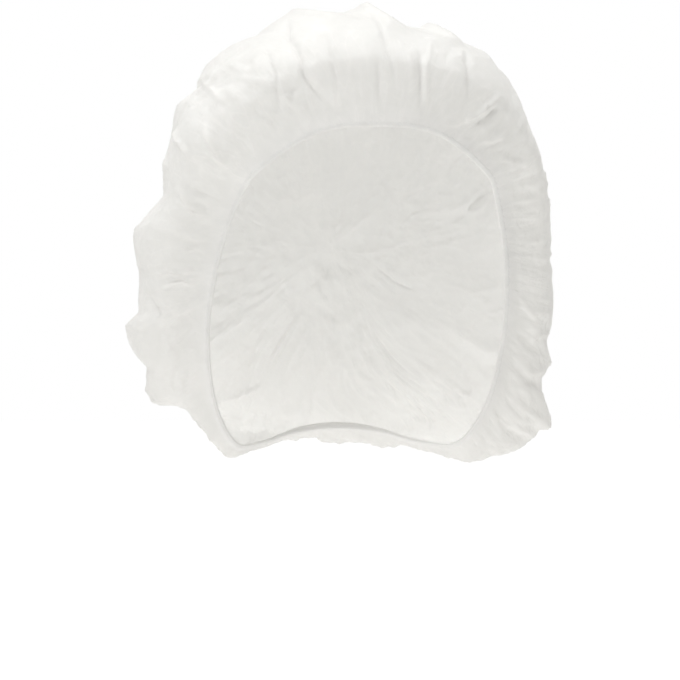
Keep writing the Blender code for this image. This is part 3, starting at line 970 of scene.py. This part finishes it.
class FitElastic(bpy.types.Operator):
    """The finish of the covered elastic that lies in the hem"""

    bl_idname = "bouffant_cap.fit_elastic"
    bl_label = "Elastic"

    def execute(self, context):
        _, colours = sizes_and_colours(context)
        paint = Paint(bpy.data.materials.new("covered_elastic"))
        place = paint.node("ShaderNodeTexCoord", output="Object")
        ribs = paint.node("ShaderNodeTexNoise", {}, {"Vector": place, "Scale": 900.0, "Detail": 2.0})
        soil = paint.node("ShaderNodeTexNoise", {}, {"Vector": place, "Scale": 60.0})
        darker = tuple(0.86 * c for c in colours.elastic)
        bump = paint.node("ShaderNodeBump", {}, {"Strength": 0.5, "Distance": 0.0003, "Height": ribs})
        shader = paint.node("ShaderNodeBsdfPrincipled", {}, {
            "Base Color": paint.blend(ribs * 0.6 + soil * 0.4, darker, colours.elastic),
            "Roughness": 0.55 + ribs * 0.25, "Normal": bump})
        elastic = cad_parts["elastic"]
        elastic.material_slots[0].material = paint.finish(shader)
        return {"FINISHED"}


class SetStage(bpy.types.Operator):
    """A pale floor, soft studio light and the camera"""

    bl_idname = "bouffant_cap.set_stage"
    bl_label = "Stage"

    def execute(self, context):
        _, colours = sizes_and_colours(context)
        builder = bmesh.new()
        bmesh.ops.create_circle(builder, cap_ends=True, segments=96, radius=6.0)
        bmesh.ops.translate(builder, verts=builder.verts, vec=(0, 0, FLOOR_HEIGHT))
        paint = Paint(bpy.data.materials.new("studio_floor"))
        place = paint.node("ShaderNodeTexCoord", output="Object")
        grain = paint.node("ShaderNodeTexNoise", {}, {"Vector": place, "Scale": 40.0, "Detail": 3.0})
        shade = paint.blend(grain, tuple(0.985 * c for c in colours.floor), colours.floor)
        shader = paint.node("ShaderNodeBsdfPrincipled", {}, {
            "Base Color": shade, "Roughness": 0.9, "Emission Color": (1, 1, 1), "Emission Strength": 0.62})
        floor = new_object("studio_floor", builder, paint.finish(shader))
        floor.visible_diffuse = False

        self.set_world(context)
        self.add_light(context, "key_light", (-1.2, -0.9, 1.7), size=1.6, power=12.0)
        self.add_light(context, "front_light", (-1.5, -1.2, -0.1), size=1.2, power=6.5)
        self.add_light(context, "top_light", (0.0, -0.4, 1.6), size=1.4, power=17.5)
        self.add_camera(context)
        context.scene.view_settings.view_transform = "Standard"
        return {"FINISHED"}

    def set_world(self, context):
        """A surround that is brighter from below, and that the camera sees as plain white."""
        world = context.scene.world or bpy.data.worlds.new("studio")
        context.scene.world = world
        paint = Paint(world)
        rising = paint.node("ShaderNodeSeparateXYZ", {}, {0: paint.node("ShaderNodeTexCoord")}, "Z")
        strength = paint.node("ShaderNodeMapRange", {}, {
            0: rising, "From Min": 0.1, "From Max": -0.9, "To Min": 0.44, "To Max": 1.32})
        surround = paint.node("ShaderNodeBackground", {}, {"Color": (1.0, 0.99, 0.965), "Strength": strength})
        backdrop = paint.node("ShaderNodeBackground", {}, {"Color": (1, 1, 1), "Strength": 1.0})
        seen = paint.node("ShaderNodeLightPath", output="Is Camera Ray")
        paint.finish(paint.node("ShaderNodeMixShader", {}, {0: seen, 1: surround, 2: backdrop}),
                     "ShaderNodeOutputWorld")

    def add_light(self, context, name, place, size, power):
        """A square soft light that looks at the cap."""
        light = bpy.data.lights.new(name, "AREA")
        light.size = size
        light.energy = power
        lamp = bpy.data.objects.new(name, light)
        lamp.location = place
        lamp.rotation_euler = (CAMERA_AIM - Vector(place)).to_track_quat("-Z", "Y").to_euler()
        context.scene.collection.objects.link(lamp)

    def add_camera(self, context):
        """A level camera with a long lens, turned a little to the wearer's right side."""
        camera = bpy.data.objects.new("camera", bpy.data.cameras.new("camera"))
        camera.data.lens = CAMERA_LENS
        camera.data.clip_start, camera.data.clip_end = 0.05, 30.0
        back = Vector((math.sin(CAMERA_TURN), -math.cos(CAMERA_TURN), 0))
        camera.location = CAMERA_AIM + back * CAMERA_DISTANCE
        camera.rotation_euler = (math.pi / 2, 0, CAMERA_TURN)
        context.scene.collection.objects.link(camera)
        context.scene.camera = camera


STEPS = (BuildCrown, BuildHem, FitElastic, SetStage)


class CapPanel(bpy.types.Panel):
    """Lists the steps that build the cap"""

    bl_idname = "VIEW3D_PT_bouffant_cap"
    bl_label = "Bouffant Cap"
    bl_space_type = "VIEW_3D"
    bl_region_type = "UI"
    bl_category = "Bouffant Cap"

    def draw(self, context):
        for step in STEPS:
            self.layout.operator(step.bl_idname)
        for group in (context.scene.cap_sizes, context.scene.cap_colours):
            for name in group.__annotations__:
                self.layout.prop(group, name)


CLASSES = (CapSizes, CapColours, *STEPS, CapPanel)


def register():
    for cls in CLASSES:
        bpy.utils.register_class(cls)
    bpy.types.Scene.cap_sizes = bpy.props.PointerProperty(type=CapSizes)
    bpy.types.Scene.cap_colours = bpy.props.PointerProperty(type=CapColours)


def unregister():
    del bpy.types.Scene.cap_colours
    del bpy.types.Scene.cap_sizes
    for cls in reversed(CLASSES):
        bpy.utils.unregister_class(cls)


def main():
    register()
    bpy.ops.bouffant_cap.build_crown()
    bpy.ops.bouffant_cap.build_hem()
    bpy.ops.bouffant_cap.fit_elastic()
    bpy.ops.bouffant_cap.set_stage()


if __name__ == "__main__":
    main()
